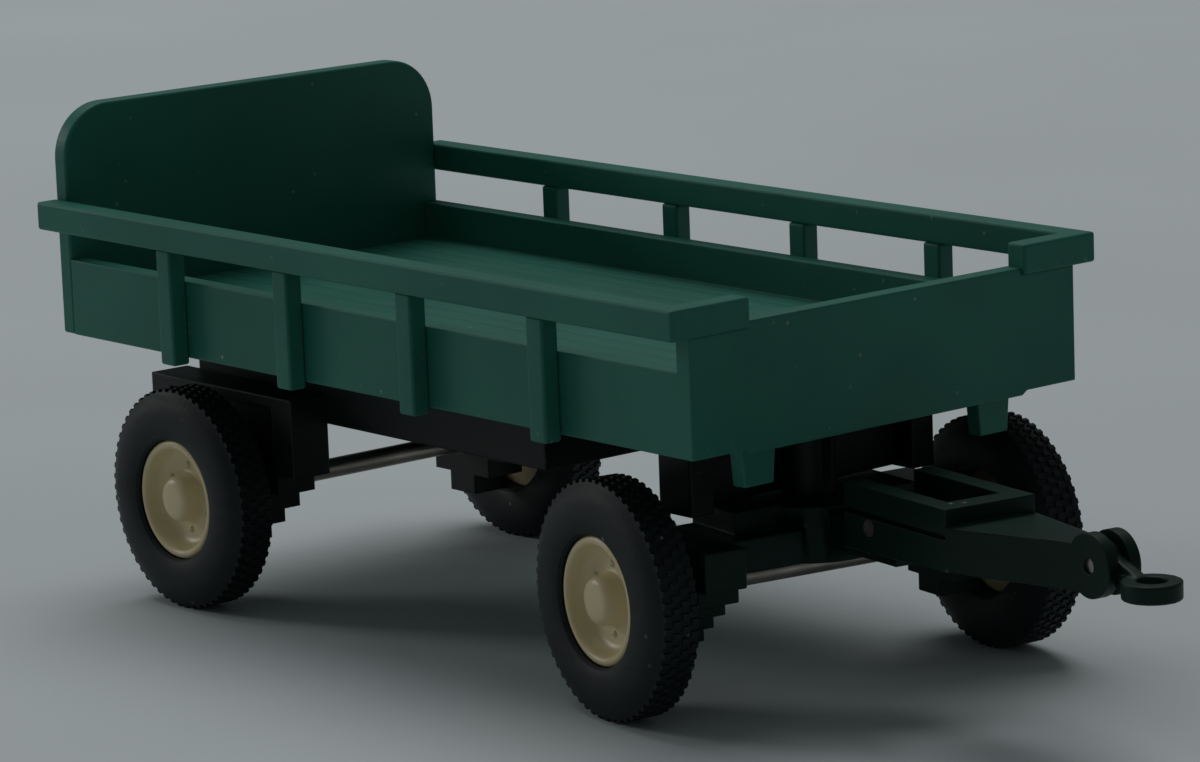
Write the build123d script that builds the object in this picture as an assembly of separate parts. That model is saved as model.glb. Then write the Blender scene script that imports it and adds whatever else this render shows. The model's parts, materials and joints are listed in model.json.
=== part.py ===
"""Scale model of a two-axle farm trailer: a low-sided bed on a steered front bogie with a drawbar.

Millimetres, +Z up, +X towards the drawbar. The origin is on the ground, under the middle of the whole part.
"""

import math
import os

from build123d import *

# Driving dimensions, in mm. Places along X count from the rear face of the bed until the final shift.

# Wheels and axles
WHEEL_RADIUS = 5.5
TYRE_WIDTH = 2.7
TYRE_SHOULDER = 0.55
RIM_RADIUS = 3.0
RIM_INSET = 0.3
RIM_LIP = 0.45
RIM_DISH = 0.75
RIM_BACK = 1.1
RIM_BACK_BOSS = 0.8
RIM_BOSS_RADIUS = 1.15
RIM_BOSS_PROUD = 0.15
AXLE_RADIUS = 0.5
AXLE_TOP = WHEEL_RADIUS + AXLE_RADIUS
REAR_AXLE_X = 8.8

# Bogie, in its own axes: X from the kingpin towards the drawbar
BEAM_AFT = 2.2
BEAM_FORE = 2.4
BEAM_FOOT = AXLE_TOP + 0.2
BEAM_TOP = BEAM_FOOT + 1.55
TURNTABLE_RADIUS = 3.2
HINGE_X = 8.2
HINGE_Z = BEAM_TOP + 1.15
HINGE_PIN_RADIUS = 0.4
TONGUE_HALF = 1.0
TONGUE_FOOT = BEAM_FOOT + 0.7
TONGUE_NECK_TOP = HINGE_Z - 0.4
KNUCKLE_RADIUS = 0.9
SADDLE_HALF = 5.0
SADDLE_FORE = 1.4

# Bolster over the bogie
BOLSTER_REAR = 1.8
BOLSTER_FRONT = 1.6
BOLSTER_FOOT = BEAM_TOP + 1.15
BOLSTER_ROOF = 1.3
BOLSTER_WEB = 0.8
END_PLATE = 1.4
END_PLATE_FRONT = 0.4
BOSS_RADIUS = 1.25

# Kingpin
KINGPIN_RADIUS = 0.6
KINGPIN_HEAD_RADIUS = 1.1
KINGPIN_HEAD = 0.5

# Bed
BED_LENGTH = 48.2
BED_WIDTH = 23.4
BED_HALF = BED_WIDTH / 2
BED_BOTTOM = BOLSTER_FOOT + 4.0
FLOOR_TOP = BED_BOTTOM + 1.9
PANEL_TOP = BED_BOTTOM + 3.8
WALL = 0.9
FRONT_TOP = BED_BOTTOM + 5.7
FRONT_DROP = 0.2
FRONT_DROP_HALF = BED_HALF - 3.4
FRONT_DROP_RAMP = 0.3
EAR_WIDTH = 3.35
EAR_PROUD = 0.25
EDGE_ROUND = 0.15

# Headboard
HEAD_TOP = BED_BOTTOM + 11.5
HEAD_THICK = 1.0
HEAD_CORNER = 2.7

# Top rails and their posts
RAIL_WIDTH = 1.2
RAIL_HEIGHT = 1.4
RAIL_TOP = BED_BOTTOM + 6.8
POST_COUNT = 4
POST_FIRST = 9.8
POST_LAST = BED_LENGTH - 9.99
POST_PITCH = (POST_LAST - POST_FIRST) / (POST_COUNT - 1)
POST_WIDTH = 1.13
POST_PROUD = 0.95
POST_BELOW = 0.3

# Lugs under the front wall
LUG_SPREAD = BED_HALF - 4.5
LUG_TOP_WIDTH = 2.4
LUG_FOOT_WIDTH = 1.7
LUG_THICK = 0.8
LUG_FOOT = BED_BOTTOM - 1.9

# Track: the tyres stand just outside the bed, and the springs just inside the tyres
TRACK_OUTER = BED_HALF + 0.17
TYRE_INNER = TRACK_OUTER - TYRE_WIDTH
SPRING_OUTER = TYRE_INNER - 0.47
SPRING_INNER = SPRING_OUTER - 2.2

# Leaf springs: the block that carries them, then stacked leaves, longest on top
SPRING_RECESS = 0.5
SPRING_END = 1.6
REAR_BLOCK_AFT = 5.6
REAR_BLOCK_FORE = 6.1
REAR_BLOCK_TOP = BED_BOTTOM - 2.1
REAR_BLOCK_FOOT = AXLE_TOP + 0.85
REAR_LEAF_HALF = (4.8, 3.5, 2.2, 1.0)
REAR_LEAF_PITCH = 1.0
FRONT_BLOCK_HALF = 4.6
FRONT_BLOCK_TOP = BEAM_TOP + 0.25
FRONT_BLOCK_FOOT = AXLE_TOP + 0.15
FRONT_LEAF_HALF = (3.9, 2.75, 1.75, 0.9)
FRONT_LEAF_PITCH = 0.78

# Chassis and the bolster's place on it
KINGPIN_X = BED_LENGTH - 5.5
CHASSIS_REAR = 4.2
CHASSIS_FRONT = KINGPIN_X - 11.0
CHASSIS_HALF = SPRING_INNER
CHASSIS_FOOT = BED_BOTTOM - 3.6
BEAM_THICK = 1.2
CROSS_MEMBER = 1.2
CROSS_COUNT = 3
NECK_HALF = 3.2
NECK_DEPTH = 1.7
BOLSTER_HALF = BED_HALF - 4.2

# Drawbar, in the bogie's axes
DRAWBAR_REAR = 6.3
DRAWBAR_HALF = 2.4
DRAWBAR_ARM = 1.0
CHANNEL_FRONT = 12.8
RAISED_FRONT = 14.0
RAISED_TOP = HINGE_Z + 1.8
LOW_TOP = HINGE_Z + 1.0
NOSE_TOP = HINGE_Z + 1.4
DRAWBAR_FOOT = HINGE_Z - 1.2
NOSE_FOOT = HINGE_Z - 0.7
NOSE_HALF = 0.85
NOSE_X = 20.6
SHADOW_Z = HINGE_Z + 0.45
SHADOW_HEIGHT = 0.22
SHADOW_DEPTH = 0.25
KNOB_X = 22.1
KNOB_Z = HINGE_Z + 0.55
KNOB_RADIUS = 1.4
FORK_GAP = 0.6

# Tow eye and its cross pin
EYE_X = 25.3
EYE_Z = HINGE_Z
EYE_RADIUS = 1.3
EYE_HOLE = 0.65
EYE_THICK = 0.8
SHANK_WIDTH = 0.9
TOW_PIN_RADIUS = 0.35
TOW_PIN_SHORT = 0.15

# Clearances, and the angle at which the bogie stands at rest, in degrees to the left
RUNNING = 0.05
BOGIE_GAP = 0.1
KINGPIN_GAP = 0.1
TAB_GAP = 0.4
REST_STEER = -8.5

# Worked out from the above
RAIL_FOOT = RAIL_TOP - RAIL_HEIGHT
BOGIE_TOP = BOLSTER_FOOT - BOGIE_GAP
KINGPIN_SEAT = BEAM_FOOT + KINGPIN_HEAD + 2 * KINGPIN_GAP
OVERALL_FRONT = KINGPIN_X + EYE_X * math.cos(math.radians(REST_STEER)) + EYE_RADIUS
MIDDLE_X = OVERALL_FRONT / 2


def slab(x0, x1, y0, y1, z0, z1):
    """A box between two corners."""
    middle = ((x0 + x1) / 2, (y0 + y1) / 2, (z0 + z1) / 2)
    return Pos(*middle) * Box(abs(x1 - x0), abs(y1 - y0), abs(z1 - z0))


def rod(radius, y0, y1, x=0.0, z=0.0):
    """A round bar across the trailer, along Y."""
    return Pos(x, (y0 + y1) / 2, z) * Rot(90, 0, 0) * Cylinder(radius, abs(y1 - y0))


def post(radius, z0, z1, x=0.0, y=0.0):
    """An upright round bar."""
    return Pos(x, y, (z0 + z1) / 2) * Cylinder(radius, z1 - z0)


def side_outline(points, half):
    """A side view of XZ points, given thickness to both sides of the middle plane."""
    face = make_face(Plane.XZ * Polyline(*points, close=True))
    return extrude(face, half, both=True)


def plan_outline(points, z0, z1):
    """A plan view of XY points, raised from z0 to z1."""
    return extrude(make_face(Pos(0, 0, z0) * Polyline(*points, close=True)), z1 - z0)


def front_outline(points, x0, x1):
    """A front view of YZ points, run from x0 to x1."""
    return extrude(make_face(Pos(x0, 0, 0) * (Plane.YZ * Polyline(*points, close=True))), x1 - x0)


def lug(side):
    """A tapered lug that hangs under the front wall."""
    top, foot, y = LUG_TOP_WIDTH / 2, LUG_FOOT_WIDTH / 2, side * LUG_SPREAD
    points = [(y - top, FLOOR_TOP), (y + top, FLOOR_TOP), (y + foot, LUG_FOOT), (y - foot, LUG_FOOT)]
    return front_outline(points, BED_LENGTH - LUG_THICK, BED_LENGTH)


def front_wall():
    """The front wall: cut down at both top corners for the rails, deeper in the middle of its foot."""
    ear = BED_HALF - EAR_WIDTH
    ramp = FRONT_DROP_HALF + FRONT_DROP_RAMP
    right = [(BED_HALF, BED_BOTTOM), (BED_HALF, RAIL_FOOT), (ear, RAIL_FOOT), (ear, FRONT_TOP)]
    foot = [(-FRONT_DROP_HALF, BED_BOTTOM - FRONT_DROP), (FRONT_DROP_HALF, BED_BOTTOM - FRONT_DROP)]
    left = [(-y, z) for y, z in reversed(right)]
    points = right + left + [(-ramp, BED_BOTTOM)] + foot + [(ramp, BED_BOTTOM)]
    return front_outline(points, BED_LENGTH - WALL, BED_LENGTH)


def bed_tray():
    """Floor, low side walls and front wall, in one moulding with the lugs."""
    tray = slab(HEAD_THICK, BED_LENGTH, -BED_HALF, BED_HALF, BED_BOTTOM, PANEL_TOP)
    hollow_front, hollow_half = BED_LENGTH - WALL, BED_HALF - WALL
    tray -= slab(HEAD_THICK, hollow_front, -hollow_half, hollow_half, FLOOR_TOP, PANEL_TOP)
    return tray + front_wall() + lug(-1) + lug(1)


def headboard():
    """The tall end board with rounded top corners, at the end away from the drawbar."""
    board = slab(0, HEAD_THICK, -BED_HALF, BED_HALF, BED_BOTTOM, HEAD_TOP)
    corners = board.edges().filter_by(Axis.X).group_by(Axis.Z)[-1]
    board = fillet(corners, HEAD_CORNER)
    return fillet(board.edges().group_by(Axis.Z)[-1], EDGE_ROUND)


def side_rail(side):
    """The top rail of one side, with the ear that turns the corner along the front wall."""
    front, outer = BED_LENGTH + EAR_PROUD, side * (BED_HALF + RAIL_WIDTH)
    rail = slab(0, front, side * BED_HALF, outer, RAIL_FOOT, RAIL_TOP)
    rail = fillet(rail.edges().filter_by(Axis.X).group_by(Axis.Y)[-1 if side > 0 else 0], EDGE_ROUND)
    ear = side * (BED_HALF - EAR_WIDTH)
    return rail + slab(BED_LENGTH - WALL, front, ear, side * BED_HALF, RAIL_FOOT, RAIL_TOP)


def side_posts(side):
    """The posts of one side: they stand on the outside of the low wall and carry the rail."""
    inner, outer, foot = side * BED_HALF, side * (BED_HALF + POST_PROUD), BED_BOTTOM - POST_BELOW
    places = [POST_FIRST + number * POST_PITCH for number in range(POST_COUNT)]
    return Compound([slab(x, x + POST_WIDTH, inner, outer, foot, RAIL_FOOT) for x in places])


def chassis_frame():
    """Two beams joined by cross members, and the neck that reaches forward to the bolster."""
    inner = CHASSIS_HALF - BEAM_THICK
    frame = slab(CHASSIS_REAR, CHASSIS_FRONT, -CHASSIS_HALF, CHASSIS_HALF, CHASSIS_FOOT, BED_BOTTOM)
    bay = (CHASSIS_FRONT - CHASSIS_REAR - CROSS_MEMBER) / (CROSS_COUNT - 1)
    for number in range(CROSS_COUNT - 1):
        x = CHASSIS_REAR + number * bay
        frame -= slab(x + CROSS_MEMBER, x + bay, -inner, inner, CHASSIS_FOOT, BED_BOTTOM)
    neck_end = KINGPIN_X - BOLSTER_REAR
    neck_foot = BED_BOTTOM - NECK_DEPTH
    return frame + slab(CHASSIS_FRONT, neck_end, -NECK_HALF, NECK_HALF, neck_foot, BED_BOTTOM)


def bolster():
    """The cross piece over the bogie, open to the front between its end plates and its boss."""
    rear, front = KINGPIN_X - BOLSTER_REAR, KINGPIN_X + BOLSTER_FRONT
    top = slab(rear, front, -BOLSTER_HALF, BOLSTER_HALF, BED_BOTTOM - BOLSTER_ROOF, BED_BOTTOM)
    web = slab(rear, rear + BOLSTER_WEB, -BOLSTER_HALF, BOLSTER_HALF, BOLSTER_FOOT, BED_BOTTOM)
    piece = top + web + post(BOSS_RADIUS, BOLSTER_FOOT, BED_BOTTOM, KINGPIN_X)
    for side in (-1, 1):
        inner, outer = side * (BOLSTER_HALF - END_PLATE), side * BOLSTER_HALF
        piece += slab(rear, KINGPIN_X + END_PLATE_FRONT, inner, outer, BOLSTER_FOOT, BED_BOTTOM)
    return piece - post(KINGPIN_RADIUS, BOLSTER_FOOT, BED_BOTTOM, KINGPIN_X)


def kingpin():
    """The pin that the bogie turns on: pressed into the boss, with its head sunk in the bogie's beam."""
    head_top = KINGPIN_SEAT - KINGPIN_GAP
    shank = post(KINGPIN_RADIUS, head_top, BED_BOTTOM, KINGPIN_X)
    return shank + post(KINGPIN_HEAD_RADIUS, head_top - KINGPIN_HEAD, head_top, KINGPIN_X)


def leaf_spring(side, aft, fore, top, foot, halves, pitch):
    """A spring block with a recessed outer face, and its stack of leaves with the axle hole."""
    inner, outer = side * SPRING_INNER, side * SPRING_OUTER
    piece = slab(-aft, fore, inner, outer, foot, top)
    recess = side * (SPRING_OUTER - SPRING_RECESS)
    for number, half in enumerate(halves):
        leaf_top = foot - number * pitch
        piece += slab(-half, half, inner, outer, leaf_top - pitch, leaf_top)
    piece -= slab(SPRING_END - aft, fore - SPRING_END, recess, outer, foot, top - SPRING_RECESS)
    return piece - rod(AXLE_RADIUS + RUNNING, inner, outer, 0, WHEEL_RADIUS)


def rear_spring(side):
    """The spring block beside the chassis beam."""
    ends = (REAR_BLOCK_AFT, REAR_BLOCK_FORE)
    heights = (REAR_BLOCK_TOP, REAR_BLOCK_FOOT)
    return Pos(REAR_AXLE_X, 0, 0) * leaf_spring(side, *ends, *heights, REAR_LEAF_HALF, REAR_LEAF_PITCH)


def front_spring(side):
    """The spring block at the end of the bogie's beam, in the bogie's axes."""
    ends = (FRONT_BLOCK_HALF, FRONT_BLOCK_HALF)
    heights = (FRONT_BLOCK_TOP, FRONT_BLOCK_FOOT)
    return leaf_spring(side, *ends, *heights, FRONT_LEAF_HALF, FRONT_LEAF_PITCH)


def bogie_frame():
    """The steered cross beam with its saddle and turntable, and the tongue for the drawbar."""
    frame = slab(-BEAM_AFT, BEAM_FORE, -SPRING_INNER, SPRING_INNER, BEAM_FOOT, BEAM_TOP)
    frame += slab(-BEAM_AFT, SADDLE_FORE, -SADDLE_HALF, SADDLE_HALF, BEAM_FOOT, BOGIE_TOP)
    frame += post(TURNTABLE_RADIUS, BEAM_FOOT, BOGIE_TOP)
    frame += slab(0, HINGE_X, -TONGUE_HALF, TONGUE_HALF, TONGUE_FOOT, TONGUE_NECK_TOP)
    frame += rod(KNUCKLE_RADIUS, -TONGUE_HALF, TONGUE_HALF, HINGE_X, HINGE_Z)
    frame -= rod(HINGE_PIN_RADIUS, -TONGUE_HALF, TONGUE_HALF, HINGE_X, HINGE_Z)
    frame -= post(KINGPIN_HEAD_RADIUS + KINGPIN_GAP, BEAM_FOOT, KINGPIN_SEAT)
    return frame - post(KINGPIN_RADIUS + RUNNING, BEAM_FOOT, BOGIE_TOP)


def hinge_pin():
    """The cross pin of the drawbar: pressed into the tongue, running in the drawbar's arms."""
    return rod(HINGE_PIN_RADIUS, -DRAWBAR_HALF, DRAWBAR_HALF, HINGE_X, HINGE_Z)


def drawbar():
    """Two arms either side of the tongue that close to a nose with a forked knob."""
    plan = [(DRAWBAR_REAR, DRAWBAR_HALF), (RAISED_FRONT, DRAWBAR_HALF)]
    plan += [(NOSE_X, NOSE_HALF), (KNOB_X, NOSE_HALF)]
    plan += [(x, -y) for x, y in reversed(plan)]
    side = [(DRAWBAR_REAR, DRAWBAR_FOOT), (KNOB_X, NOSE_FOOT), (KNOB_X, NOSE_TOP), (RAISED_FRONT, LOW_TOP)]
    side += [(RAISED_FRONT, RAISED_TOP), (DRAWBAR_REAR, RAISED_TOP)]
    piece = plan_outline(plan, DRAWBAR_FOOT, RAISED_TOP) & side_outline(side, DRAWBAR_HALF)
    channel = DRAWBAR_HALF - DRAWBAR_ARM
    piece -= slab(DRAWBAR_REAR, CHANNEL_FRONT, -channel, channel, DRAWBAR_FOOT, RAISED_TOP)
    for face in (-1, 1):
        floor, surface = face * (DRAWBAR_HALF - SHADOW_DEPTH), face * DRAWBAR_HALF
        piece -= slab(DRAWBAR_REAR, RAISED_FRONT, floor, surface, SHADOW_Z, SHADOW_Z + SHADOW_HEIGHT)
    piece += rod(KNOB_RADIUS, -NOSE_HALF, NOSE_HALF, KNOB_X, KNOB_Z)
    fork_foot, fork_top = KNOB_Z - KNOB_RADIUS, KNOB_Z + KNOB_RADIUS
    piece -= slab(NOSE_X, KNOB_X + KNOB_RADIUS, -FORK_GAP / 2, FORK_GAP / 2, fork_foot, fork_top)
    piece -= rod(TOW_PIN_RADIUS, -NOSE_HALF, NOSE_HALF, KNOB_X, KNOB_Z)
    return piece - rod(HINGE_PIN_RADIUS + RUNNING, -DRAWBAR_HALF, DRAWBAR_HALF, HINGE_X, HINGE_Z)


def tow_eye():
    """The ring that a tractor's pin drops through, on a cranked tab held in the fork."""
    tab = rod(KNOB_RADIUS - TAB_GAP, -FORK_GAP / 2, FORK_GAP / 2, KNOB_X, KNOB_Z)
    foot, top = EYE_Z - EYE_THICK / 2, EYE_Z + EYE_THICK / 2
    ring_inner = EYE_X - EYE_HOLE
    crank = [(KNOB_X, KNOB_Z - EYE_THICK), (ring_inner, foot)]
    crank += [(ring_inner, top), (KNOB_X, KNOB_Z + EYE_THICK)]
    piece = tab + side_outline(crank, FORK_GAP / 2)
    piece += slab(KNOB_X + KNOB_RADIUS, ring_inner, -SHANK_WIDTH / 2, SHANK_WIDTH / 2, foot, top)
    piece += post(EYE_RADIUS, foot, top, EYE_X)
    piece -= post(EYE_HOLE, foot, top, EYE_X)
    return piece - rod(TOW_PIN_RADIUS, -FORK_GAP / 2, FORK_GAP / 2, KNOB_X, KNOB_Z)


def tow_pin():
    """The cross pin that holds the tow eye in the fork; its ends lie a little below the surface."""
    reach = NOSE_HALF - TOW_PIN_SHORT
    return rod(TOW_PIN_RADIUS, -reach, reach, KNOB_X, KNOB_Z)


def tyre(side):
    """A tyre with rounded shoulders, at the axle's middle height, outer face outward."""
    ring = rod(WHEEL_RADIUS, TYRE_INNER, TRACK_OUTER) - rod(RIM_RADIUS, TYRE_INNER, TRACK_OUTER)
    circles = ring.edges().filter_by(GeomType.CIRCLE)
    ring = fillet(circles.filter_by(lambda edge: edge.radius > RIM_RADIUS + RUNNING), TYRE_SHOULDER)
    return Pos(0, 0, WHEEL_RADIUS) * (ring if side > 0 else Rot(0, 0, 180) * ring)


def rim(side):
    """A dished rim with a raised lip, and a hub boss on both faces, pressed on the axle."""
    face, back = TRACK_OUTER - RIM_INSET, TYRE_INNER + RIM_BACK
    disc = rod(RIM_RADIUS, back, face) - rod(RIM_RADIUS - RIM_LIP, face - RIM_DISH, face)
    disc += rod(RIM_BOSS_RADIUS, back - RIM_BACK_BOSS, face + RIM_BOSS_PROUD)
    disc -= rod(AXLE_RADIUS, back - RIM_BACK_BOSS, face - RIM_DISH)
    return Pos(0, 0, WHEEL_RADIUS) * (disc if side > 0 else Rot(0, 0, 180) * disc)


def axle():
    """The steel rod that both rims of a wheelset are pressed on."""
    reach = TRACK_OUTER - RIM_INSET - RIM_DISH
    return rod(AXLE_RADIUS, -reach, reach, 0, WHEEL_RADIUS)


def on_bogie(piece):
    """Moves a piece from the bogie's axes to its place at rest."""
    return Pos(KINGPIN_X, 0, 0) * Rot(0, 0, REST_STEER) * piece


def on_rear_axle(piece):
    """Moves a wheelset piece to the rear axle."""
    return Pos(REAR_AXLE_X, 0, 0) * piece


def build():
    """Every piece by node name, in place."""
    pieces = {
        "bed_tray": bed_tray(),
        "headboard": headboard(),
        "chassis_frame": chassis_frame(),
        "bolster": bolster(),
        "kingpin": kingpin(),
        "bogie_frame": on_bogie(bogie_frame()),
        "drawbar_hinge_pin": on_bogie(hinge_pin()),
        "drawbar": on_bogie(drawbar()),
        "tow_eye": on_bogie(tow_eye()),
        "tow_eye_pin": on_bogie(tow_pin()),
        "rear_axle": on_rear_axle(axle()),
        "front_axle": on_bogie(axle()),
    }
    for name, side in (("left", 1), ("right", -1)):
        pieces[f"side_rail_{name}"] = side_rail(side)
        pieces[f"side_posts_{name}"] = side_posts(side)
        pieces[f"rear_spring_{name}"] = rear_spring(side)
        pieces[f"front_spring_{name}"] = on_bogie(front_spring(side))
        pieces[f"rear_tyre_{name}"] = on_rear_axle(tyre(side))
        pieces[f"rear_rim_{name}"] = on_rear_axle(rim(side))
        pieces[f"front_tyre_{name}"] = on_bogie(tyre(side))
        pieces[f"front_rim_{name}"] = on_bogie(rim(side))
    return pieces


os.makedirs("parts", exist_ok=True)
for node, solid in build().items():
    export_step(Pos(-MIDDLE_X, 0, 0) * solid, f"parts/{node}.step")
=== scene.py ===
import json
import math

import bmesh
import bpy
from bpy.props import FloatProperty, FloatVectorProperty, IntProperty, PointerProperty
from mathutils import Matrix, Quaternion, Vector


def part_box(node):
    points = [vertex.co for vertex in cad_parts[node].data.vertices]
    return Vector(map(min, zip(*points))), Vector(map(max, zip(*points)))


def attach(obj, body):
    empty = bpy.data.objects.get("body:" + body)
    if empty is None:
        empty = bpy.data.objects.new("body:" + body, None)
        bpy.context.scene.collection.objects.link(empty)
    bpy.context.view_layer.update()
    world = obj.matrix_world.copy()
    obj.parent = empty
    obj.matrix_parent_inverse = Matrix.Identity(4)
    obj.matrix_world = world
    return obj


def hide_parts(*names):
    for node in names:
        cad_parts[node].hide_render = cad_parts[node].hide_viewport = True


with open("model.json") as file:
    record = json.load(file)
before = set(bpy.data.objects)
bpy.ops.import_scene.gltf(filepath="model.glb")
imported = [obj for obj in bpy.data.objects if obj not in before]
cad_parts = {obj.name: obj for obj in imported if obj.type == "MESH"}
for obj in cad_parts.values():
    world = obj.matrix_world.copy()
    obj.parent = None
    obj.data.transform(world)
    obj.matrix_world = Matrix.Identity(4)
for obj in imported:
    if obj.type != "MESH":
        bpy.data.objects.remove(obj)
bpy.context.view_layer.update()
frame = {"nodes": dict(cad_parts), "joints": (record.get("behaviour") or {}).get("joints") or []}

bl_info = {
    "name": "Farm Trailer Model",
    "version": (1, 0, 0),
    "blender": (4, 5, 0),
    "location": "3D View > Sidebar > Trailer",
    "description": "Moulded pieces, finishes and stage of a small two-axle farm trailer",
    "category": "Object",
}

MM = 0.001
SIDES = {"left": 1, "right": -1}
JOINTS = {joint["name"]: joint for joint in frame["joints"]}
ACROSS = Vector(JOINTS["front_wheels_roll"]["axis"])
STEER = math.atan2(-ACROSS.x, ACROSS.y)


# ---------------------------------------------------------------- settings

def length(name, default, description, top=10.0):
    """A length setting, given in millimetres."""
    return FloatProperty(name=name, description=description, default=default * MM, min=0.0,
                         max=top * MM, unit="LENGTH", precision=5)


def share(name, default, description, top=1.0):
    """A plain number between zero and top."""
    return FloatProperty(name=name, description=description, default=default, min=0.0, max=top)


def paint(name, default, description):
    """A colour setting."""
    return FloatVectorProperty(name=name, description=description, default=default, min=0.0,
                               max=1.0, size=3, subtype="COLOR")


def power(name, default, description):
    """A light's strength, in watts."""
    return FloatProperty(name=name, description=description, default=default, min=0.0, max=100.0,
                         unit="POWER")


class TRAILER_PG_bed(bpy.types.PropertyGroup):
    """Sizes of the bed's mouldings."""

    edge: length("Edge Round", 0.13, "Radius of the moulded edges")
    planks: IntProperty(name="Planks", description="Boards across the floor", default=17, min=1,
                        max=60)
    groove: length("Groove Width", 0.16, "Width of the joint between two boards")
    groove_depth: length("Groove Depth", 0.09, "Depth of the joint between two boards")


class TRAILER_PG_running_gear(bpy.types.PropertyGroup):
    """Sizes of the chassis, the bogie and the drawbar."""

    edge: length("Edge Round", 0.1, "Radius of the moulded edges")
    leaf_edge: length("Leaf Edge Round", 0.07, "Radius of the edges of the spring leaves")
    eye_grid: length("Eye Grid", 0.05, "Grid that the tow eye's edges are melted round on")
    eye_passes: IntProperty(name="Eye Passes", description="How often the tow eye is smoothed",
                            default=10, min=0, max=60)


class TRAILER_PG_wheels(bpy.types.PropertyGroup):
    """Sizes of the tyres and rims."""

    lugs: IntProperty(name="Lugs", description="Tread lugs in one row", default=60, min=8, max=200)
    rows: IntProperty(name="Rows", description="Rows of lugs across the tread", default=4, min=1,
                      max=8)
    lug_height: length("Lug Height", 0.13, "Height of a lug over the carcass")
    lug_lean: length("Lug Lean", 0.035, "How far a lug's sides lean in")
    row_gap: length("Row Gap", 0.08, "Space between two rows of lugs")
    studs: IntProperty(name="Studs", description="Wheel studs round the hub", default=6, min=0,
                       max=24)
    stud_size: length("Stud Size", 0.15, "Radius of a wheel stud")
    stud_circle: length("Stud Circle", 1.62, "Radius of the circle that the studs stand on")
    hub_stand: length("Hub Stand", 0.15, "How far the hub stands out over the rim's lip")
    dish_depth: length("Dish Depth", 0.9, "Depth of the rim's dish behind its lip")
    rim_back: length("Rim Back", 1.2, "From a tyre's inner face to the back of its rim's disc")


class TRAILER_PG_finish(bpy.types.PropertyGroup):
    """Colours of the mouldings and the metal."""

    bed_green: paint("Bed Green", (0.022, 0.15, 0.108), "Bed, headboard, rails and posts")
    bogie_green: paint("Bogie Green", (0.0025, 0.02, 0.0135), "Bogie, front springs and drawbar")
    chassis_black: paint("Chassis Black", (0.006, 0.009, 0.0095), "Chassis, bolster, rear springs")
    tyre_black: paint("Tyre Black", (0.0055, 0.01, 0.0115), "Tyres")
    rim_cream: paint("Rim Cream", (0.68, 0.58, 0.34), "Rims")
    axle_steel: paint("Axle Steel", (0.5, 0.46, 0.42), "Axle rods")
    pin_steel: paint("Pin Steel", (0.36, 0.35, 0.34), "Pins")
    wear: share("Wear", 0.35, "How much paler the rubbed edges are")
    dust: share("Dust", 0.5, "How many dust specks lie on the surfaces")


class TRAILER_PG_stage(bpy.types.PropertyGroup):
    """Floor, lights and camera."""

    floor: paint("Floor", (0.595, 0.65, 0.66), "Floor colour")
    sky: paint("Surround", (0.62, 0.68, 0.7), "Colour of the light from all round")
    sky_power: share("Surround Power", 0.135, "Strength of the light from all round", top=10.0)
    key_power: power("Key Power", 6.1, "Strength of the overhead light")
    side_power: power("Side Power", 1.5, "Strength of the side light")
    lens: FloatProperty(name="Lens", description="Focal length", default=149.8, min=10.0,
                        unit="CAMERA")
    roll: FloatProperty(name="Roll", description="Turn of the camera about its view",
                        default=math.radians(-2.15), subtype="ANGLE")


# ---------------------------------------------------------------- shaping

SAME_POINT = 2e-7      # a CAD mesh's points closer than this are one, in metres
SAME_PLANE = 0.6       # its faces that meet at less than this are one, in degrees
SAME_LEVEL = 1e-5      # flat faces closer than this lie at one level, in metres
FACING_UP = 0.99       # upward part of a level face's normal


def round_edges(bm, edges, radius, segments=3):
    """Rounds the edges."""
    bmesh.ops.bevel(bm, geom=edges, offset=radius, offset_type="OFFSET", segments=segments,
                    profile=0.5, affect="EDGES", clamp_overlap=True, material=-1)


def sharp_edges(bm, angle=32.0, shortest=0.0):
    """The edges where two faces meet at more than the angle, in degrees."""
    limit = math.radians(angle)
    return [edge for edge in bm.edges if len(edge.link_faces) == 2
            and edge.calc_face_angle(0.0) > limit and edge.calc_length() >= shortest]


def turn_profile(bm, profile, steps, closed=False):
    """Turns a profile of (radius, along) points about the Y axis."""
    verts = [bm.verts.new((radius, along, 0.0)) for radius, along in profile]
    pairs = list(zip(verts, verts[1:])) + ([(verts[-1], verts[0])] if closed else [])
    edges = [bm.edges.new(pair) for pair in pairs]
    bmesh.ops.spin(bm, geom=verts + edges, cent=(0, 0, 0), axis=(0, 1, 0), angle=math.tau,
                   steps=steps, use_merge=True)
    bmesh.ops.remove_doubles(bm, verts=bm.verts, dist=1e-7)
    bmesh.ops.recalc_face_normals(bm, faces=bm.faces)


def node_copy(node):
    """A merged copy of a CAD node's mesh, with its flat faces made whole."""
    bm = bmesh.new()
    bm.from_mesh(frame["nodes"][node].data)
    bmesh.ops.remove_doubles(bm, verts=bm.verts, dist=SAME_POINT)
    bmesh.ops.dissolve_limit(bm, angle_limit=math.radians(SAME_PLANE), verts=bm.verts,
                             edges=bm.edges, use_dissolve_boundaries=False, delimit={"NORMAL"})
    return bm


def finish_piece(bm, name, body, nodes, slot, smooth=34.0):
    """Makes the object from its mesh, rides it on its body and gives it its finish."""
    mesh = bpy.data.meshes.new(name)
    bm.to_mesh(mesh)
    bm.free()
    mesh.polygons.foreach_set("use_smooth", [True] * len(mesh.polygons))
    mesh.set_sharp_from_angle(angle=math.radians(smooth))
    piece = bpy.data.objects.new(name, mesh)
    bpy.context.scene.collection.objects.link(piece)
    weighted = piece.modifiers.new("Flat faces", "WEIGHTED_NORMAL")
    weighted.keep_sharp = True
    mesh.materials.append(material(slot))
    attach(piece, body)
    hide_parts(*nodes)
    return piece


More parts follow.
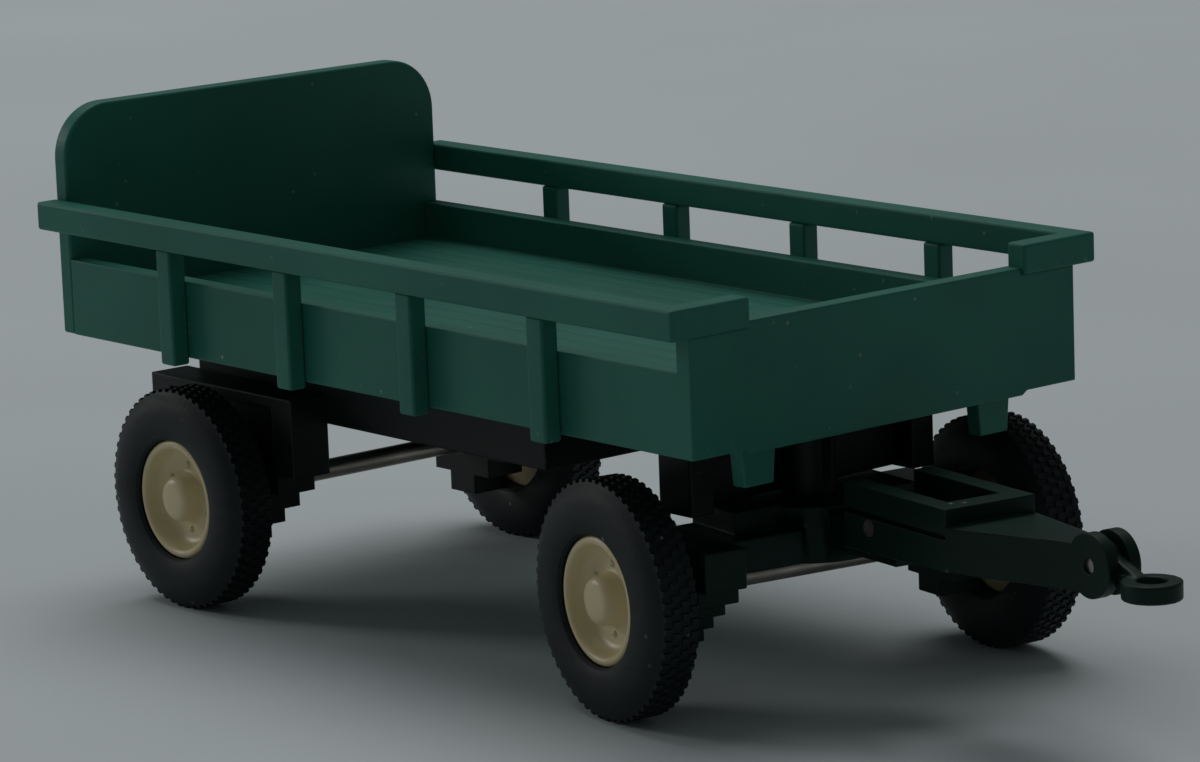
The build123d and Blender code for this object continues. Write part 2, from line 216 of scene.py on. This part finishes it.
def softened(node, name, body, slot, radius, shortest=0.0):
    """A piece with the shape of its CAD node and rounded edges."""
    bm = node_copy(node)
    round_edges(bm, sharp_edges(bm, shortest=shortest), radius)
    return finish_piece(bm, name, body, [node], slot)


def melted(node, name, body, slot, grid, passes):
    """A piece with the shape of its CAD node and every edge melted round. It is worked on at a
    thousand times its size, because the grid can't be finer than a tenth of a millimetre."""
    bm = node_copy(node)
    bmesh.ops.scale(bm, vec=(1 / MM,) * 3, verts=bm.verts)
    mesh = bpy.data.meshes.new("melting")
    bm.to_mesh(mesh)
    bm.free()
    rough = bpy.data.objects.new("melting", mesh)
    bpy.context.scene.collection.objects.link(rough)
    remesh = rough.modifiers.new("Grid", "REMESH")
    remesh.mode, remesh.voxel_size = "VOXEL", grid / MM
    smooth = rough.modifiers.new("Melt", "SMOOTH")
    smooth.factor, smooth.iterations = 0.5, passes
    done = rough.evaluated_get(bpy.context.evaluated_depsgraph_get())
    bm = bmesh.new()
    bm.from_mesh(done.to_mesh())
    done.to_mesh_clear()
    bpy.data.objects.remove(rough)
    bpy.data.meshes.remove(mesh)
    bmesh.ops.scale(bm, vec=(MM,) * 3, verts=bm.verts)
    return finish_piece(bm, name, body, [node], slot, smooth=60.0)


# ---------------------------------------------------------------- bed

FLOOR_AREA = 4e-4      # the bed's floor is larger than this, in square metres


def level_faces(bm, level):
    """The faces that look up at a level."""
    return [face for face in bm.faces if face.normal.z > FACING_UP
            and abs(face.calc_center_median().z - level) < SAME_LEVEL]


def breadth(face):
    """A face's size across the bed."""
    rows = [vert.co.y for vert in face.verts]
    return max(rows) - min(rows)


def cut_planks(bm, level, sizes):
    """Cuts the joints between the boards into the floor."""
    floor = level_faces(bm, level)
    rows = [vert.co.y for face in floor for vert in face.verts]
    low, high = min(rows), max(rows)
    pitch = (high - low) / sizes.planks
    for number in range(1, sizes.planks):
        middle = low + number * pitch
        for offset in (-sizes.groove / 2, sizes.groove / 2):
            geom = list({item for face in floor for item in (face, *face.edges, *face.verts)})
            bmesh.ops.bisect_plane(bm, geom=geom, dist=1e-8, plane_co=(0, middle + offset, 0),
                                   plane_no=(0, 1, 0))
            floor = level_faces(bm, level)
    joints = [face for face in floor if breadth(face) < sizes.groove * 1.5]
    made = bmesh.ops.extrude_face_region(bm, geom=joints)["geom"]
    moved = [item for item in made if isinstance(item, bmesh.types.BMVert)]
    bmesh.ops.translate(bm, vec=(0, 0, -sizes.groove_depth), verts=moved)
    bmesh.ops.delete(bm, geom=[face for face in joints if face.is_valid], context="FACES_ONLY")


class TRAILER_OT_bed(bpy.types.Operator):
    """Make the bed tray, headboard, rails and posts"""

    bl_idname = "trailer.bed"
    bl_label = "Bed"

    def execute(self, context):
        sizes = context.scene.trailer_bed
        bm = node_copy("bed_tray")
        level = min(round(face.calc_center_median().z, 6) for face in bm.faces
                    if face.normal.z > FACING_UP and face.calc_area() > FLOOR_AREA)
        round_edges(bm, sharp_edges(bm), sizes.edge)
        cut_planks(bm, level, sizes)
        finish_piece(bm, "bed_moulding", "chassis", ["bed_tray"], "bed_green")
        softened("headboard", "head_board", "chassis", "bed_green", sizes.edge)
        for side in SIDES:
            softened(f"side_rail_{side}", f"top_rail_{side}", "chassis", "bed_green", sizes.edge)
            softened(f"side_posts_{side}", f"posts_{side}", "chassis", "bed_green", sizes.edge)
        return {"FINISHED"}


# ---------------------------------------------------------------- running gear

class TRAILER_OT_chassis(bpy.types.Operator):
    """Make the chassis frame, the bolster and the rear springs"""

    bl_idname = "trailer.chassis"
    bl_label = "Chassis"

    def execute(self, context):
        sizes = context.scene.trailer_running_gear
        softened("chassis_frame", "chassis_beams", "chassis", "chassis_black", sizes.edge)
        softened("bolster", "bolster_moulding", "chassis", "chassis_black", sizes.edge, 0.4 * MM)
        for side in SIDES:
            softened(f"rear_spring_{side}", f"rear_leaves_{side}", "chassis", "chassis_black",
                     sizes.leaf_edge, 0.3 * MM)
        return {"FINISHED"}


class TRAILER_OT_bogie(bpy.types.Operator):
    """Make the bogie and its springs"""

    bl_idname = "trailer.bogie"
    bl_label = "Bogie"

    def execute(self, context):
        sizes = context.scene.trailer_running_gear
        softened("bogie_frame", "bogie_beam", "bogie", "bogie_green", sizes.edge, 0.4 * MM)
        for side in SIDES:
            softened(f"front_spring_{side}", f"front_leaves_{side}", "bogie", "bogie_green",
                     sizes.leaf_edge, 0.3 * MM)
        return {"FINISHED"}


class TRAILER_OT_drawbar(bpy.types.Operator):
    """Make the drawbar and its tow eye"""

    bl_idname = "trailer.drawbar"
    bl_label = "Drawbar"

    def execute(self, context):
        sizes = context.scene.trailer_running_gear
        softened("drawbar", "drawbar_moulding", "drawbar", "bogie_green", sizes.edge, 0.4 * MM)
        melted("tow_eye", "tow_ring", "drawbar", "bogie_green", sizes.eye_grid, sizes.eye_passes)
        return {"FINISHED"}


# ---------------------------------------------------------------- wheels

# A tyre's side wall: height over the bore or over the tread's carcass in mm, and depth in from
# the wall's plane as a share of the width.
WALL_FROM_BORE = ((0.0, 0.1), (0.12, 0.05), (0.35, 0.02), (0.7, 0.0), (1.1, 0.003), (1.5, 0.02))
WALL_TO_TREAD = ((-0.6, 0.05), (-0.3, 0.1), (-0.1, 0.15))
SHOULDER = 0.05 * MM   # plain strip between the side wall and the first row of lugs
ON_TREAD = 0.995       # a face further out than this share of the carcass belongs to the tread

# The rim's front in mm, drawn for a radius of RIM_DRAWN: radius, and height over the hub's end,
# the dish's floor or the lip's face.
RIM_DRAWN = 3.0
RIM_HUB = ((0.0, 0.0), (0.6, 0.0), (0.86, -0.04), (1.02, -0.13), (1.12, -0.3))
RIM_DISH = ((1.2, 0.12), (1.3, 0.02), (1.45, 0.0), (2.0, 0.0), (2.24, 0.09), (2.4, 0.28),
            (2.5, 0.55))
RIM_LIP = ((2.55, -0.14), (2.62, -0.03), (2.72, 0.0), (2.84, -0.02), (2.93, -0.09), (3.0, -0.24))
RIM_BACK_BOSS = (1.35, 1.2, 1.15, 1.05)   # radii of the back's boss in mm, from the disc to its end
RIM_CHAMFER = 0.1 * MM
RIM_STEPS = 96


def tyre_mesh(radius, bore, width, sizes):
    """A tyre about the Y axis, from its inner face at 0 to its outer face at width."""
    base = radius - sizes.lug_height
    inner = [(level + rise * MM, depth * width) for level, part in
             ((bore, WALL_FROM_BORE), (base, WALL_TO_TREAD)) for rise, depth in part]
    outer = [(r, width - along) for r, along in reversed(inner)]
    first, last = inner[-1][1] + SHOULDER, outer[0][1] - SHOULDER
    pitch = (last - first + sizes.row_gap) / sizes.rows
    tread = []
    for row in range(sizes.rows):
        start = first + row * pitch
        tread += [(base, start), (base, start + pitch - sizes.row_gap)]
    steps = 2 * sizes.lugs
    bm = bmesh.new()
    turn_profile(bm, inner + tread + outer, steps, closed=True)
    lugs = []
    for face in bm.faces:
        middle = face.calc_center_median()
        row = (middle.y - first) / pitch
        far = math.hypot(middle.x, middle.z) > base * ON_TREAD
        if not far or not 0 <= row < sizes.rows or row % 1 > 1 - sizes.row_gap / pitch:
            continue
        step = int((math.atan2(middle.z, middle.x) / math.tau % 1.0) * steps)
        if (step + int(row)) % 2 == 0:
            lugs.append(face)
    bmesh.ops.inset_individual(bm, faces=lugs, thickness=sizes.lug_lean, depth=sizes.lug_height)
    return bm


def rim_mesh(radius, hub, boss, axle, sizes):
    """A dished rim about the Y axis. Its hub ends at hub, and its back's boss, on the axle, at
    boss."""
    face = hub - sizes.hub_stand
    floor = face - sizes.dish_depth
    back = sizes.rim_back
    scale = radius / RIM_DRAWN
    points = [(r * scale, level + rise * MM) for level, part in
              ((hub, RIM_HUB), (floor, RIM_DISH), (face, RIM_LIP)) for r, rise in part]
    foot, neck, brim, end = (r * MM for r in RIM_BACK_BOSS)
    points += [(radius, back + RIM_CHAMFER), (radius - RIM_CHAMFER, back), (foot, back),
               (neck, back - RIM_CHAMFER), (brim, boss + RIM_CHAMFER), (end, boss),
               (axle, boss), (axle, floor), (0, floor - 1e-6)]
    bm = bmesh.new()
    turn_profile(bm, points, RIM_STEPS)
    for number in range(sizes.studs):
        angle = math.tau * (number + 0.5) / sizes.studs
        place = Matrix.Translation((sizes.stud_circle * math.cos(angle), floor,
                                    sizes.stud_circle * math.sin(angle)))
        bmesh.ops.create_uvsphere(bm, u_segments=16, v_segments=10, radius=sizes.stud_size,
                                  matrix=place)
    return bm


def wheel_matrix(axle_node, sign, inner):
    """From a wheel's own axes to its place: its outer face looks away from the middle."""
    low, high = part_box(axle_node)
    middle = (low + high) / 2
    turn = STEER if axle_node == "front_axle" else 0.0
    flip = Matrix.Identity(4) if sign > 0 else Matrix.Rotation(math.pi, 4, "Z")
    place = Matrix.Translation(middle) @ Matrix.Rotation(turn, 4, "Z")
    return place @ flip @ Matrix.Translation((0, inner, 0))


class TRAILER_OT_wheels(bpy.types.Operator):
    """Make the tyres and rims"""

    bl_idname = "trailer.wheels"
    bl_label = "Wheels"

    def execute(self, context):
        sizes = context.scene.trailer_wheels
        low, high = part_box("rear_tyre_left")
        rim_low, rim_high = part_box("rear_rim_left")
        axle_low, axle_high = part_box("rear_axle")
        radius, width, inner = (high.z - low.z) / 2, high.y - low.y, low.y
        bore, hub = (rim_high.z - rim_low.z) / 2, rim_high.y - low.y
        axle = (axle_high.z - axle_low.z) / 2
        for end in ("front", "rear"):
            for side, sign in SIDES.items():
                place = wheel_matrix(f"{end}_axle", sign, inner)
                tyre = tyre_mesh(radius, bore, width, sizes)
                rim = rim_mesh(bore, hub, rim_low.y - low.y, axle, sizes)
                for bm in (tyre, rim):
                    bmesh.ops.transform(bm, matrix=place, verts=bm.verts)
                body = f"{end}_wheelset"
                finish_piece(tyre, f"{end}_tread_tyre_{side}", body, [f"{end}_tyre_{side}"],
                             "tyre_black", smooth=25.0)
                finish_piece(rim, f"{end}_dished_rim_{side}", body, [f"{end}_rim_{side}"],
                             "rim_cream", smooth=50.0)
        return {"FINISHED"}


class TRAILER_OT_metal(bpy.types.Operator):
    """Give the axle rods and pins their metal"""

    bl_idname = "trailer.metal"
    bl_label = "Axles and Pins"

    def execute(self, context):
        for node in ("front_axle", "rear_axle"):
            dress(node, "axle_steel")
        for node in ("kingpin", "drawbar_hinge_pin", "tow_eye_pin"):
            dress(node, "pin_steel")
        return {"FINISHED"}


def dress(node, slot):
    """Gives a CAD node its finish."""
    for place in frame["nodes"][node].material_slots:
        place.material = material(slot)


# ---------------------------------------------------------------- finishes

PALE_GREY = 0.75
# Each moulded plastic: its shares of the set wear and dust, how far its rubbed edges go towards
# pale grey, its moulded surface's values and its shader's own.
PLASTICS = {
    "bed_green": (1.0, 1.0, 0.16, {"Drift": 0.1, "Roughness": 0.46, "Grain Depth": 0.25},
                  {"Specular IOR Level": 0.22}),
    "bogie_green": (0.8, 1.0, 0.12, {"Drift": 0.14, "Roughness": 0.42, "Grain Depth": 0.25},
                    {"Specular IOR Level": 0.16}),
    "chassis_black": (0.6, 1.0, 0.1, {"Drift": 0.14, "Roughness": 0.45, "Grain Depth": 0.3},
                      {"Specular IOR Level": 0.25}),
    "tyre_black": (0.9, 1.2, 0.16, {"Drift": 0.2, "Roughness": 0.58, "Roughness Drift": 0.2,
                                    "Grain Scale": 5200.0, "Grain Depth": 0.5,
                                    "Edge Width": 0.00005}, {"Specular IOR Level": 0.3}),
    "rim_cream": (1.0, 0.4, 0.3, {"Drift": 0.05, "Roughness": 0.36, "Grain Depth": 0.15},
                  {"Subsurface Weight": 0.2, "Subsurface Scale": 0.0006}),
}
# Each metal, with its own values of the drawn metal.
METALS = {"axle_steel": {}, "pin_steel": {"Tarnish Amount": 0.3}}


def put(tree, kind, place=(0, 0), **settings):
    """Adds a node. Settings whose names are sockets' go to those sockets."""
    node = tree.nodes.new(kind)
    node.location = place
    for name, value in settings.items():
        socket = node.inputs.get(name.replace("_", " "))
        if socket is not None:
            socket.default_value = value
        else:
            setattr(node, name, value)
    return node


def wire(tree, *links):
    """Links (node, output name, node, input name) in turn."""
    for source, output, target, name in links:
        tree.links.new(source.outputs[output], target.inputs[name])


def new_group(name, inputs, outputs):
    """A shader node group with the named sockets, and its two end nodes."""
    tree = bpy.data.node_groups.new(name, "ShaderNodeTree")
    for socket, kind, value in inputs:
        made = tree.interface.new_socket(socket, in_out="INPUT", socket_type=kind)
        made.default_value = value
    for socket, kind in outputs:
        tree.interface.new_socket(socket, in_out="OUTPUT", socket_type=kind)
    return tree, put(tree, "NodeGroupInput", (-1200, 0)), put(tree, "NodeGroupOutput", (900, 0))


def dust_group():
    """Sparse pale specks, as dust leaves on a small model."""
    if "Dust Specks" in bpy.data.node_groups:
        return bpy.data.node_groups["Dust Specks"]
    tree, start, end = new_group(
        "Dust Specks", [("Amount", "NodeSocketFloat", 0.5), ("Scale", "NodeSocketFloat", 900.0)],
        [("Mask", "NodeSocketFloat")])
    coords = put(tree, "ShaderNodeTexCoord", (-1000, -200))
    cells = put(tree, "ShaderNodeTexVoronoi", (-800, -100), Randomness=1.0)
    spot = put(tree, "ShaderNodeMapRange", (-600, -100), From_Min=0.05, From_Max=0.11, To_Min=1.0,
               To_Max=0.0)
    fields = put(tree, "ShaderNodeTexNoise", (-800, -400), Scale=420.0, Detail=2.0)
    sparse = put(tree, "ShaderNodeMapRange", (-600, -400), From_Min=0.52, From_Max=0.68)
    both = put(tree, "ShaderNodeMath", (-400, -200), operation="MULTIPLY")
    scaled = put(tree, "ShaderNodeMath", (-200, -100), operation="MULTIPLY")
    wire(tree, (coords, "Object", cells, "Vector"), (coords, "Object", fields, "Vector"),
         (start, "Scale", cells, "Scale"), (cells, "Distance", spot, "Value"),
         (fields, "Fac", sparse, "Value"), (spot, "Result", both, 0), (sparse, "Result", both, 1),
         (both, "Value", scaled, 0), (start, "Amount", scaled, 1), (scaled, "Value", end, "Mask"))
    return tree


def moulded_group():
    """Moulded plastic: drifting colour, streaky gloss, fine grain, softened and rubbed edges."""
    if "Moulded Surface" in bpy.data.node_groups:
        return bpy.data.node_groups["Moulded Surface"]
    tree, start, end = new_group(
        "Moulded Surface",
        [("Color", "NodeSocketColor", (0.5, 0.5, 0.5, 1)),
         ("Rubbed Color", "NodeSocketColor", (0.8, 0.8, 0.8, 1)),
         ("Drift", "NodeSocketFloat", 0.1), ("Wear", "NodeSocketFloat", 0.3),
         ("Edge Width", "NodeSocketFloat", 0.00015), ("Grain Scale", "NodeSocketFloat", 7000.0),
         ("Grain Depth", "NodeSocketFloat", 0.3), ("Roughness", "NodeSocketFloat", 0.45),
         ("Roughness Drift", "NodeSocketFloat", 0.12), ("Dust", "NodeSocketFloat", 0.4)],
        [("Color", "NodeSocketColor"), ("Roughness", "NodeSocketFloat"),
         ("Normal", "NodeSocketVector")])
    coords = put(tree, "ShaderNodeTexCoord", (-1200, -500))
    broad = put(tree, "ShaderNodeTexNoise", (-900, 300), Scale=140.0, Detail=3.0)
    low = put(tree, "ShaderNodeMath", (-900, 550), operation="SUBTRACT")
    low.inputs[0].default_value = 1.0
    high = put(tree, "ShaderNodeMath", (-900, 700), operation="ADD")
    high.inputs[0].default_value = 1.0
    value = put(tree, "ShaderNodeMapRange", (-650, 450), From_Min=0.3, From_Max=0.7)
    drifted = put(tree, "ShaderNodeHueSaturation", (-450, 450))
    soft = put(tree, "ShaderNodeBevel", (-900, -50), samples=6)
    flat = put(tree, "ShaderNodeNewGeometry", (-900, -250))
    facing = put(tree, "ShaderNodeVectorMath", (-700, -100), operation="DOT_PRODUCT")
    edge = put(tree, "ShaderNodeMapRange", (-500, -100), From_Min=0.985, From_Max=0.86, To_Min=0.0,
               To_Max=1.0)
    patchy = put(tree, "ShaderNodeTexNoise", (-700, -350), Scale=1100.0, Detail=3.0)
    broken = put(tree, "ShaderNodeMapRange", (-500, -350), From_Min=0.38, From_Max=0.66)
    worn = put(tree, "ShaderNodeMath", (-300, -150), operation="MULTIPLY")
    rubbed = put(tree, "ShaderNodeMath", (-120, -150), operation="MULTIPLY")
    tinted = put(tree, "ShaderNodeMix", (50, 300), data_type="RGBA")
    dust = put(tree, "ShaderNodeGroup", (-120, 80), node_tree=dust_group(), Scale=900.0)
    dusty = put(tree, "ShaderNodeMix", (250, 300), data_type="RGBA")
    dusty.inputs["B"].default_value = (0.42, 0.45, 0.43, 1.0)
    stretch = put(tree, "ShaderNodeMapping", (-900, -600))
    stretch.inputs["Scale"].default_value = (1.0, 6.0, 9.0)
    streaks = put(tree, "ShaderNodeTexNoise", (-700, -600), Scale=260.0, Detail=4.0)
    centred = put(tree, "ShaderNodeMath", (-500, -600), operation="SUBTRACT")
    centred.inputs[1].default_value = 0.5
    spread = put(tree, "ShaderNodeMath", (-300, -500), operation="MULTIPLY")
    rough = put(tree, "ShaderNodeMath", (-100, -450), operation="ADD")
    grain = put(tree, "ShaderNodeTexNoise", (-700, -850), Detail=2.0)
    bump = put(tree, "ShaderNodeBump", (250, -300), Distance=0.00002)
    wire(tree, (coords, "Object", broad, "Vector"), (coords, "Object", patchy, "Vector"),
         (coords, "Object", stretch, "Vector"), (stretch, "Vector", streaks, "Vector"),
         (coords, "Object", grain, "Vector"), (start, "Grain Scale", grain, "Scale"),
         (start, "Drift", low, 1), (start, "Drift", high, 1), (broad, "Fac", value, "Value"),
         (low, "Value", value, "To Min"), (high, "Value", value, "To Max"),
         (value, "Result", drifted, "Value"), (start, "Color", drifted, "Color"),
         (start, "Edge Width", soft, "Radius"), (soft, "Normal", facing, 0),
         (flat, "Normal", facing, 1), (facing, "Value", edge, "Value"),
         (patchy, "Fac", broken, "Value"), (edge, "Result", worn, 0), (broken, "Result", worn, 1),
         (worn, "Value", rubbed, 0), (start, "Wear", rubbed, 1),
         (rubbed, "Value", tinted, "Factor"), (drifted, "Color", tinted, "A"),
         (start, "Rubbed Color", tinted, "B"), (start, "Dust", dust, "Amount"),
         (dust, "Mask", dusty, "Factor"), (tinted, "Result", dusty, "A"),
         (dusty, "Result", end, "Color"), (streaks, "Fac", centred, 0),
         (centred, "Value", spread, 0), (start, "Roughness Drift", spread, 1),
         (spread, "Value", rough, 0), (start, "Roughness", rough, 1),
         (rough, "Value", end, "Roughness"), (grain, "Fac", bump, "Height"),
         (start, "Grain Depth", bump, "Strength"), (soft, "Normal", bump, "Normal"),
         (bump, "Normal", end, "Normal"))
    return tree


def metal_group():
    """Drawn metal: fine lines and streaky gloss along the rod, and patches of warm tarnish."""
    if "Drawn Metal" in bpy.data.node_groups:
        return bpy.data.node_groups["Drawn Metal"]
    tree, start, end = new_group(
        "Drawn Metal",
        [("Color", "NodeSocketColor", (0.5, 0.5, 0.5, 1)),
         ("Tarnish", "NodeSocketColor", (0.2, 0.13, 0.08, 1)),
         ("Tarnish Amount", "NodeSocketFloat", 0.5), ("Roughness", "NodeSocketFloat", 0.35),
         ("Line Depth", "NodeSocketFloat", 0.5)],
        [("Color", "NodeSocketColor"), ("Roughness", "NodeSocketFloat"),
         ("Normal", "NodeSocketVector")])
    coords = put(tree, "ShaderNodeTexCoord", (-1000, 0))
    stretch = put(tree, "ShaderNodeMapping", (-800, 0))
    stretch.inputs["Scale"].default_value = (30.0, 1.0, 30.0)
    lines = put(tree, "ShaderNodeTexNoise", (-600, 0), Scale=220.0, Detail=3.0)
    cloud = put(tree, "ShaderNodeTexNoise", (-600, 300), Scale=350.0, Detail=4.0)
    patch = put(tree, "ShaderNodeMapRange", (-400, 300), From_Min=0.4, From_Max=0.7)
    amount = put(tree, "ShaderNodeMath", (-200, 300), operation="MULTIPLY")
    tinted = put(tree, "ShaderNodeMix", (0, 250), data_type="RGBA")
    dull = put(tree, "ShaderNodeMapRange", (-200, 0), From_Min=0.3, From_Max=0.7, To_Min=-0.08,
               To_Max=0.14)
    rough = put(tree, "ShaderNodeMath", (0, 0), operation="ADD")
    bump = put(tree, "ShaderNodeBump", (0, -250), Distance=0.00002)
    wire(tree, (coords, "Object", stretch, "Vector"), (stretch, "Vector", lines, "Vector"),
         (coords, "Object", cloud, "Vector"), (cloud, "Fac", patch, "Value"),
         (patch, "Result", amount, 0), (start, "Tarnish Amount", amount, 1),
         (amount, "Value", tinted, "Factor"), (start, "Color", tinted, "A"),
         (start, "Tarnish", tinted, "B"), (tinted, "Result", end, "Color"),
         (lines, "Fac", dull, "Value"), (dull, "Result", rough, 0), (start, "Roughness", rough, 1),
         (rough, "Value", end, "Roughness"), (lines, "Fac", bump, "Height"),
         (start, "Line Depth", bump, "Strength"), (bump, "Normal", end, "Normal"))
    return tree


def shaded(slot, group_tree, values, sockets):
    """Gives the slot's material a shader that takes colour, roughness and normal from a group."""
    made = bpy.data.materials.get(slot) or bpy.data.materials.new(slot)
    made.use_nodes = True
    tree = made.node_tree
    tree.nodes.clear()
    shader = put(tree, "ShaderNodeBsdfPrincipled", (0, 200))
    wire(tree, (shader, "BSDF", put(tree, "ShaderNodeOutputMaterial", (350, 200)), "Surface"))
    group = put(tree, "ShaderNodeGroup", (-300, 200), node_tree=group_tree)
    for node, settings in ((group, values), (shader, sockets)):
        for socket, value in settings.items():
            node.inputs[socket].default_value = value
    wire(tree, (group, "Color", shader, "Base Color"), (group, "Roughness", shader, "Roughness"),
         (group, "Normal", shader, "Normal"))
    return made


def paler(colour, amount):
    """A colour moved towards a pale grey."""
    return tuple(part + (PALE_GREY - part) * amount for part in colour)


def material(slot):
    """The finish of a material slot. It is made the first time it is asked for, in place of the
    plain colour that the packed model gives the slot."""
    made = bpy.data.materials.get(slot)
    if made and any(node.type == "GROUP" for node in made.node_tree.nodes):
        return made
    look = bpy.context.scene.trailer_finish
    colour = getattr(look, slot)
    values = {"Color": (*colour, 1.0)}
    if slot in METALS:
        return shaded(slot, metal_group(), {**values, **METALS[slot]}, {"Metallic": 1.0})
    wear, dust, pale, surface, sockets = PLASTICS[slot]
    values.update({"Rubbed Color": (*paler(colour, pale), 1.0), "Wear": look.wear * wear,
                   "Dust": look.dust * dust})
    return shaded(slot, moulded_group(), {**values, **surface}, sockets)


# ---------------------------------------------------------------- stage

CAMERA_TARGET = Vector((-4.09, -1.98, 12.72)) * MM
CAMERA_PLACE = Vector((173.25, -149.16, 57.78)) * MM
CAMERA_RANGE = (0.01, 10.0)    # nearest and furthest seen, in metres
SENSOR_WIDTH = 36.0            # in mm, as the focal length is
FLOOR_SIZE = 6.0               # in metres, as the lights' sizes are
KEY_PLACE = Vector((-430, 230, 1120)) * MM
KEY_SIZE = 0.9
SIDE_PLACE = Vector((-950, -470, 360)) * MM
SIDE_SIZE = 0.3


def floor_material(colour):
    """Pale matt card with a faint mottle."""
    made = bpy.data.materials.new("stage_floor")
    made.use_nodes = True
    tree = made.node_tree
    shader = tree.nodes["Principled BSDF"]
    shader.inputs["Roughness"].default_value = 0.75
    shader.inputs["Specular IOR Level"].default_value = 0.25
    coords = put(tree, "ShaderNodeTexCoord", (-900, 0))
    noise = put(tree, "ShaderNodeTexNoise", (-700, 0), Scale=18.0, Detail=4.0)
    mottle = put(tree, "ShaderNodeMapRange", (-500, 0), From_Min=0.3, From_Max=0.7, To_Min=0.97,
                 To_Max=1.03)
    tone = put(tree, "ShaderNodeHueSaturation", (-300, 0), Color=(*colour, 1.0))
    wire(tree, (coords, "Object", noise, "Vector"), (noise, "Fac", mottle, "Value"),
         (mottle, "Result", tone, "Value"), (tone, "Color", shader, "Base Color"))
    return made


def area_light(name, place, size, power):
    """A square soft light that looks at the trailer."""
    light = bpy.data.lights.new(name, "AREA")
    light.size, light.energy = size, power
    lamp = bpy.data.objects.new(name, light)
    lamp.location = place
    lamp.rotation_mode = "QUATERNION"
    lamp.rotation_quaternion = (CAMERA_TARGET - place).to_track_quat("-Z", "Y")
    bpy.context.scene.collection.objects.link(lamp)


class TRAILER_OT_stage(bpy.types.Operator):
    """Make the floor, the lights and the camera"""

    bl_idname = "trailer.stage"
    bl_label = "Stage"

    def execute(self, context):
        scene, look = context.scene, context.scene.trailer_stage
        bm = bmesh.new()
        bmesh.ops.create_grid(bm, x_segments=4, y_segments=4, size=FLOOR_SIZE / 2)
        mesh = bpy.data.meshes.new("floor")
        bm.to_mesh(mesh)
        bm.free()
        mesh.materials.append(floor_material(look.floor))
        floor = bpy.data.objects.new("floor", mesh)
        scene.collection.objects.link(floor)
        world = bpy.data.worlds.new("surround")
        world.use_nodes = True
        background = world.node_tree.nodes["Background"]
        background.inputs["Color"].default_value = (*look.sky, 1.0)
        background.inputs["Strength"].default_value = look.sky_power
        scene.world = world
        area_light("key", KEY_PLACE, KEY_SIZE, look.key_power)
        area_light("side", SIDE_PLACE, SIDE_SIZE, look.side_power)
        data = bpy.data.cameras.new("camera")
        data.lens, data.sensor_width = look.lens, SENSOR_WIDTH
        data.clip_start, data.clip_end = CAMERA_RANGE
        camera = bpy.data.objects.new("camera", data)
        camera.location = CAMERA_PLACE
        camera.rotation_mode = "QUATERNION"
        aim = (CAMERA_TARGET - CAMERA_PLACE).to_track_quat("-Z", "Y")
        camera.rotation_quaternion = aim @ Quaternion((0, 0, 1), look.roll)
        scene.collection.objects.link(camera)
        scene.camera = camera
        scene.view_settings.view_transform = "Standard"
        return {"FINISHED"}


# ---------------------------------------------------------------- panel and registration

OPERATORS = (TRAILER_OT_stage, TRAILER_OT_bed, TRAILER_OT_chassis, TRAILER_OT_bogie,
             TRAILER_OT_drawbar, TRAILER_OT_wheels, TRAILER_OT_metal)
SETTINGS = {
    "trailer_bed": TRAILER_PG_bed,
    "trailer_running_gear": TRAILER_PG_running_gear,
    "trailer_wheels": TRAILER_PG_wheels,
    "trailer_finish": TRAILER_PG_finish,
    "trailer_stage": TRAILER_PG_stage,
}


class TRAILER_PT_panel(bpy.types.Panel):
    """Buttons and settings of the trailer"""

    bl_idname = "TRAILER_PT_panel"
    bl_label = "Farm Trailer"
    bl_space_type = "VIEW_3D"
    bl_region_type = "UI"
    bl_category = "Trailer"

    def draw(self, context):
        for operator in OPERATORS:
            self.layout.operator(operator.bl_idname)
        for name, group in SETTINGS.items():
            box = self.layout.box()
            box.label(text=group.__doc__)
            for prop in group.__annotations__:
                box.prop(getattr(context.scene, name), prop)


def register():
    """Adds the classes and the settings."""
    for cls in (*SETTINGS.values(), *OPERATORS, TRAILER_PT_panel):
        bpy.utils.register_class(cls)
    for name, group in SETTINGS.items():
        setattr(bpy.types.Scene, name, PointerProperty(type=group))


def unregister():
    """Takes the settings and the classes away again."""
    for name in SETTINGS:
        delattr(bpy.types.Scene, name)
    for cls in (TRAILER_PT_panel, *reversed(OPERATORS), *reversed(SETTINGS.values())):
        bpy.utils.unregister_class(cls)


def main():
    """Builds everything in order."""
    register()
    for step in ("stage", "bed", "chassis", "bogie", "drawbar", "wheels", "metal"):
        getattr(bpy.ops.trailer, step)()


if __name__ == "__main__":
    main()
